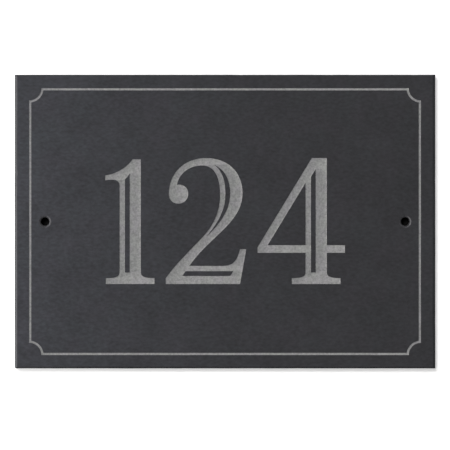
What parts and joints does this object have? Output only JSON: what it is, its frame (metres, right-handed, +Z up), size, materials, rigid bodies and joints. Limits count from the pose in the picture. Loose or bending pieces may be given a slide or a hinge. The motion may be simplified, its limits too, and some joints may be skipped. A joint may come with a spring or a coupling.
{
  "type": "house number plaque",
  "caption": "Rectangular slate wall plaque, engraved with a plain house number inside a line border with notched corners, and drilled near each side for a wall screw.",
  "frame": {"origin": "centre of the flat back face, which lies on the wall", "axes": "+X to the reader's right along the long side, +Y into the wall, +Z up; the engraved front faces -Y"},
  "size_m": [0.29, 0.01, 0.2026],
  "materials": {
    "slate": "honed matt slate with bare pale grey engraving"
  },
  "bodies": {
    "root": {"slate_plaque": "slate"}
  },
  "joints": []
}
